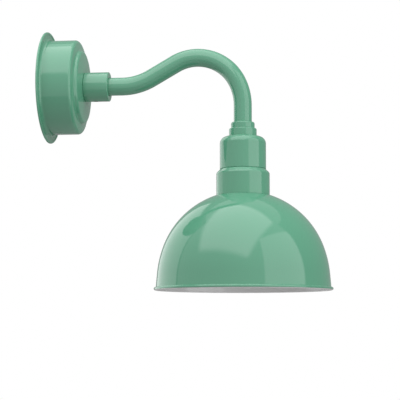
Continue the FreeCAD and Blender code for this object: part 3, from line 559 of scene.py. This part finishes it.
def makeShadeNeck():
    v = neckValues
    outer, inner = v["neckRadius"], v["neckRadius"] - v["neckWall"]
    underside = v["capBottom"] - v["neckWall"]
    neck = turned("shadeNeck", [
        (v["capBottom"], v["throat"]), (v["capBottom"], v["seatRadius"], 0.5),
        (v["shoulder"], outer, v["shoulderCorner"]),
        (domeHeight(outer) + v["domeGap"], outer), (domeHeight(inner) + v["domeGap"], inner),
        (v["shoulder"] - 0.5, inner, v["shoulderCorner"] - v["neckWall"]),
        (underside, v["seatRadius"] - 0.5, 0.5), (underside, v["throat"])], steps=144)
    for side in (-1, 1):
        x = shadeX + side * v["bossOffset"] * mm
        cutAway(neck, pinAt(v["screwHole"], 4, (x, 0, (v["capBottom"] - 1) * mm), sides=32))
    smoothOff(neck)
    finishPiece(neck, "shade_head", "green_enamel", green, "shade_neck")


# ---- shade ----

shadeValues = {
    "rimRadius": 100.0, "crownRadius": 95.4, "crownCentre": -217.6, "crownEnd": 69.3, "flankRadius": 118.0,
    "draft": 5.0, "sheet": 0.9, "collarRadius": 28.7, "collarTop": -121.5, "rimBottom": -233.6, "beadTop": -230.0,
    "beadRoot": 97.7, "beadInside": 96.85, "beadTuck": 0.8,
    "whiteBelow": -0.6}                  # the rim's faces whose normals dip more than this are white


def makeShade():
    # the crown is an arc about a centre on the axis, and the flank a wider arc that leaves it smoothly
    v = shadeValues
    crown, inner = v["crownRadius"], v["crownRadius"] - v["sheet"]
    collar, innerCollar = v["collarRadius"], v["collarRadius"] - v["sheet"]
    start, innerStart = math.degrees(math.asin(collar / crown)), math.degrees(math.asin(innerCollar / inner))
    knee, join = 90 - v["draft"], math.radians(v["crownEnd"])
    shift = v["flankRadius"] - crown
    flankCentre = (v["crownCentre"] - shift * math.cos(join), -shift * math.sin(join))
    innerFlank, lean = v["flankRadius"] - v["sheet"], math.radians(knee)
    innerKnee = (flankCentre[0] + innerFlank * math.cos(lean), flankCentre[1] + innerFlank * math.sin(lean))
    shade = turned("domeShade", [
        (v["collarTop"], innerCollar, 0.2), (v["collarTop"], collar, 0.2), (domeHeight(collar), collar),
        ("arc", (v["crownCentre"], 0), v["crownEnd"] - start), ("arc", flankCentre, knee - v["crownEnd"]),
        (v["beadTop"], v["beadRoot"], 0.3), (v["beadTop"], v["rimRadius"], 1.75),
        (v["rimBottom"], v["rimRadius"], 1.8), (v["rimBottom"], v["beadInside"], 1.2),
        (v["beadTop"] - v["beadTuck"], v["beadInside"]), innerKnee,
        ("arc", flankCentre, v["crownEnd"] - knee), ("arc", (v["crownCentre"], 0), innerStart - v["crownEnd"])],
        steps=192, arcStep=2.0)
    editPiece(shade)
    pickFaces(shade, facesInside)
    shade.data.materials.append(green)
    shade.data.materials.append(white)
    shade.active_material_index = 1
    bpy.ops.object.material_slot_assign()
    leaveEdit()
    smoothOff(shade)
    ridesAs(shade, "shade_head", "green_enamel", "shade")


def facesInside(middle, normal):
    # the inner wall, and the underside of the rolled rim
    outwards = Vector((middle.x - shadeX, middle.y, 0)).normalized()
    inwards = normal.dot(outwards) < 0 and middle.z < shadeValues["collarTop"] * mm
    rim = middle.z < shadeValues["beadTop"] * mm and normal.z < shadeValues["whiteBelow"]
    return inwards or rim


makeSocketCap()
makeShadeNeck()
makeShade()
print("neck and shade made")


# ---- lamp and its holder ----

lampValues = {
    "holderRadius": 17.0, "holderTop": -70.6, "holderMouth": -121.0, "holderBore": 14.0, "holderFloor": -92.0,
    "cableHole": 3.45, "cableDepth": 6.5,
    "pitch": 3.629, "flank": 0.9,        # between the thread's rings, and from a ring's crest to its root
    "shell": {"top": -95.6, "bottom": -120.4, "inside": 13.42, "root": 13.62, "crest": 13.92},
    "cap": {"top": -100.7, "bottom": -119.2, "inside": 11.25, "root": 12.35, "crest": 13.1},
    "bore": 9.5, "neck": 12.4, "collar": -124.4, "collarRadius": 15.8, "collarInside": 14.4, "collarWall": 1.6,
    "waist": -133.0, "waistRadius": 17.2, "waistInside": 15.6, "waistBend": 30.0,
    "globeRadius": 30.0, "globe": -173.0, "seam": -165.3, "wall": 1.4}


def makeHolder():
    v = lampValues
    ceiling = v["holderTop"] - v["cableDepth"]
    holder = turned("lampholder", [
        (ceiling, 0), (ceiling, v["cableHole"]), (v["holderTop"], v["cableHole"], 0.5),
        (v["holderTop"], v["holderRadius"], 3.0), (v["holderMouth"], v["holderRadius"], 0.8),
        (v["holderMouth"], v["holderBore"], 0.5), (v["holderFloor"], v["holderBore"], 1.0), (v["holderFloor"], 0)],
        steps=96)
    smoothOff(holder)
    finishPiece(holder, "shade_head", "porcelain", porcelain, "lampholder_body")


def threaded(name, sleeve):
    # a thin sleeve whose rolled thread is drawn as rings at the lamp's pitch
    pitch, flank = lampValues["pitch"], lampValues["flank"]
    top, bottom, root = sleeve["top"], sleeve["bottom"], sleeve["root"]
    outline = [(top, sleeve["inside"]), (top, root)]
    for i in range(int((top - bottom) / pitch)):
        middle = top - (i + 0.5) * pitch
        outline += [(middle + flank, root, 0.4), (middle, sleeve["crest"], 0.6), (middle - flank, root, 0.4)]
    outline += [(bottom, root), (bottom, sleeve["inside"])]
    piece = turned(name, outline, steps=96, cornerDegrees=14)
    smoothOff(piece, 50)
    return piece


def makeLamp():
    v = lampValues
    shell = threaded("screwShell", v["shell"])
    finishPiece(shell, "shade_head", "nickel", nickel, "screw_shell")
    cap = threaded("lampCap", v["cap"])
    finishPiece(cap, "lamp", "nickel", nickel, "lamp_cap")
    top, underCollar = v["cap"]["bottom"], v["collar"] - v["collarWall"]
    seamRadius = math.sqrt(v["globeRadius"] ** 2 - (v["seam"] - v["globe"]) ** 2)
    housing = turned("lampHousing", [
        (top, v["bore"]), (top, v["neck"], 0.2), (v["collar"], v["neck"], 0.3), (v["collar"], v["collarRadius"], 0.8),
        (v["waist"], v["waistRadius"], v["waistBend"]), (v["seam"], seamRadius, 0.2),
        (v["seam"], seamRadius - v["wall"]), (v["waist"], v["waistInside"], v["waistBend"]),
        (underCollar, v["collarInside"]), (underCollar, v["bore"])], steps=128)
    smoothOff(housing)
    finishPiece(housing, "lamp", "lamp_white", lampPlastic, "lamp_housing")
    inner, rise = v["globeRadius"] - v["wall"], v["seam"] - v["globe"]
    outerSweep = 180 - math.degrees(math.acos(rise / v["globeRadius"]))
    innerSweep = 180 - math.degrees(math.acos(rise / inner))
    globe = turned("opalGlobe", [
        (v["globe"] - v["globeRadius"], 0), ("arc", (v["globe"], 0), -outerSweep),
        (v["seam"], math.sqrt(inner ** 2 - rise ** 2)), ("arc", (v["globe"], 0), innerSweep)],
        steps=128, arcStep=1.6)
    smoothOff(globe)
    finishPiece(globe, "lamp", "opal", opal, "lamp_globe")


# the gap lets the shade turn under the lock ring
sealValues = {"lampWidth": 3.6, "capWidth": 2.9, "capGap": 0.03}


def makeSeals():
    v = sealValues
    top, bottom, radius = ringSize("lamp_seal")
    inner = radius - v["lampWidth"]
    seal = turned("lampSeal", [(top, inner, 0.3), (top, radius, 0.6), (bottom, radius, 0.6), (bottom, inner, 0.3)],
                  steps=96)
    smoothOff(seal)
    finishPiece(seal, "lamp_washer", "silicone", silicone, "lamp_seal")
    top, bottom, radius = ringSize("cap_seal")
    top, inner = top - v["capGap"], radius - v["capWidth"]
    seal = turned("capSeal", [(top, inner, 0.2), (top, radius, 0.2), (bottom, radius), (bottom, inner)], steps=96)
    smoothOff(seal)
    finishPiece(seal, "shade_head", "silicone", silicone, "cap_seal")


makeHolder()
makeLamp()
makeSeals()
print("lamp made")


# ---- pieces that keep their own mesh ----

cadFinishes = {
    "mounting_plate": zinc, "canopy_nuts": zinc, "canopy_set_screws": blackOxide, "terminal_block": terminalPlastic,
    "terminal_screws": brass, "block_screw": zinc, "ground_screw": zinc, "ground_terminal": brass,
    "ground_lead": greenWire, "line_lead": blackWire, "neutral_lead": whiteWire, "backing_disc": zinc,
    "hub_washer": zinc, "hub_locknut": zinc, "arm_set_screw": blackOxide, "cable_bush": blackPlastic,
    "arm_cable": jacket, "nipple": zinc, "nipple_nut": zinc, "holder_strap": zinc, "strap_screws": zinc,
    "centre_contact": brass, "cap_screws": zinc, "lamp_tip": nickel, "lamp_insulator": blackGlass}

for node, finish in cadFinishes.items():
    mesh = cadNodes[node].data
    mesh.materials.clear()
    mesh.materials.append(finish)
print("fittings finished")


# ---- studio ----

studio = {
    "floorHeight": -1.7, "floorRadius": 3.0, "floorX": 0.15, "floorBounce": 0.37, "ambient": 0.53,
    "aim": (shadeX, 0, -0.19),
    "overhead": {"centre": (-0.048, -0.215, 0.6575), "along": (0.887, -0.476, -0.028),
                 "across": (-0.502, -0.774, -0.657), "width": 1.007, "height": 1.132,
                 "scale": 1.95, "glow": 1.39, "fade": (0.12, 0.12)},
    "right": {"azimuth": 61.5, "distance": 1.6, "width": 1.85, "top": 1.9, "bottom": -1.0, "glow": 0.88,
              "fade": (0.02, 0.06)},
    "left": {"azimuth": -121.0, "distance": 1.6, "width": 1.85, "top": 1.9, "bottom": -1.0, "glow": 0.93,
             "fade": (0.02, 0.06)},
    "card": {"radius": 2.9, "top": 4.0, "glow": 0.38},
}


def makeFloor():
    # pale to the camera and in reflections, and a softer bounce up into the shade
    deselectAll()
    bpy.ops.mesh.primitive_circle_add(vertices=96, radius=studio["floorRadius"], fill_type="NGON",
                                      location=(studio["floorX"], 0, studio["floorHeight"]))
    floor = newPiece("floor")
    finish = Finish("pale floor", Roughness=0.7)
    pale = finish.between((0.80, 0.80, 0.80, 1), (0.83, 0.83, 0.83, 1), finish.noise(3))
    bounce = (*[studio["floorBounce"]] * 3, 1)
    falling = finish.node("ShaderNodeLightPath", output="Is Diffuse Ray")
    finish.drive("Base Color", finish.between(pale, bounce, falling))
    floor.data.materials.append(finish.material)


def makeCard():
    # a dim grey half-round behind the object, which only its gloss sees
    v = studio["card"]
    low = studio["floorHeight"]
    deselectAll()
    bpy.ops.mesh.primitive_cylinder_add(vertices=64, radius=v["radius"], depth=v["top"] - low,
                                        end_fill_type="NOTHING", location=(shadeX, 0, (v["top"] + low) / 2))
    card = newPiece("card")
    editPiece(card)
    pickFaces(card, lambda middle, normal: middle.y < 0)
    bpy.ops.mesh.delete(type="FACE")
    leaveEdit()
    finish = Finish("grey card", Base_Color=(0, 0, 0, 1), Specular_IOR_Level=0.0, Emission_Color=(1, 1, 1, 1),
                    Emission_Strength=v["glow"])
    card.data.materials.append(finish.material)
    for rays in ("camera", "diffuse", "transmission", "volume_scatter", "shadow"):
        setattr(card, "visible_" + rays, False)


def inView(nodes):
    # 1 for what the camera sees, directly, in a reflection or through glass, and 0 for light that falls on things
    kinds = ("Is Camera Ray", "Is Glossy Ray", "Is Transmission Ray")
    camera, glossy, through = (nodes.node("ShaderNodeLightPath", output=kind) for kind in kinds)
    return nodes.maths("MAXIMUM", nodes.maths("MAXIMUM", camera, glossy), through)


def makeWorld():
    # white to the camera and in reflections, and a softer fill on everything else
    world = bpy.data.worlds.new("studio")
    bpy.context.scene.world = world
    world.use_nodes = True
    sky = Nodes(world.node_tree)
    fill = sky.node("ShaderNodeBackground", values={"Color": (1, 1, 1, 1), "Strength": studio["ambient"]})
    bright = sky.node("ShaderNodeBackground", values={"Color": (1, 1, 1, 1), "Strength": 1.0})
    either = sky.node("ShaderNodeMixShader", values={0: inView(sky), 1: fill, 2: bright})
    sky.tree.links.new(either.socket, sky.tree.nodes["World Output"].inputs["Surface"])


def fadedEdge(nodes, along, fade):
    # 1 across the middle of a panel, and 0 at its two ends
    ramp = nodes.maths("PINGPONG", along, 0.5)
    return nodes.node("ShaderNodeMapRange", {"interpolation_type": "SMOOTHSTEP"},
                      {"Value": ramp, "From Min": 0.0, "From Max": fade})


def addPanel(name, middle, along, rise, width, height, v):
    # a softbox; its power follows from its area and how bright it looks, and it fades towards its edges
    facing = along.cross(rise).normalized()
    if facing.dot(Vector(studio["aim"]) - middle) > 0:
        along = -along
        facing = -facing
    data = bpy.data.lights.new(name, "AREA")
    data.shape, data.size, data.size_y = "RECTANGLE", width, height
    data.energy = 4 * width * height * v["glow"]
    data.use_nodes = True
    light = Nodes(data.node_tree)
    spot = light.node("ShaderNodeNewGeometry", output="Parametric")
    across, down = (light.node("ShaderNodeSeparateXYZ", values={0: spot}, output=side) for side in ("X", "Y"))
    fade = fadedEdge(light, across, v["fade"][0]) * fadedEdge(light, down, v["fade"][1])
    light.tree.links.new(fade.socket, light.tree.nodes["Emission"].inputs["Strength"])
    panel = bpy.data.objects.new(name, data)
    bpy.context.scene.collection.objects.link(panel)
    basis = [along.normalized(), facing.cross(along.normalized()), facing]
    panel.rotation_euler = Matrix(basis).transposed().to_euler()
    panel.location = middle
    panel.visible_camera = False


def makeLights():
    aim = Vector(studio["aim"])
    v = studio["overhead"]
    along, across = Vector(v["along"]), Vector(v["across"])
    addPanel("overhead", aim + Vector(v["centre"]) * v["scale"], along, across,
             v["width"] * v["scale"], v["height"] * v["scale"], v)
    for name in ("right", "left"):
        v = studio[name]
        azimuth = math.radians(v["azimuth"])
        towards = Vector((math.sin(azimuth), -math.cos(azimuth), 0))
        middle = aim + towards * v["distance"] + Vector((0, 0, (v["top"] + v["bottom"]) / 2))
        addPanel(name, middle, Vector((towards.y, -towards.x, 0)), Vector((0, 0, 1)),
                 v["width"], v["top"] - v["bottom"], v)


cameraValues = {"place": (0.34013, -1.40964, -0.27695), "lens": 113.894, "sensor": 36.0,
                "tilt": 0.1020, "turn": 0.11598}


def makeCamera():
    v = cameraValues
    data = bpy.data.cameras.new("camera")
    data.lens, data.sensor_width = v["lens"], v["sensor"]
    camera = bpy.data.objects.new("camera", data)
    bpy.context.scene.collection.objects.link(camera)
    camera.location = v["place"]
    camera.rotation_euler = (math.pi / 2 + v["tilt"], 0, v["turn"])
    bpy.context.scene.camera = camera


makeFloor()
makeCard()
makeWorld()
makeLights()
makeCamera()
bpy.context.scene.view_settings.view_transform = "Standard"
print("studio ready")
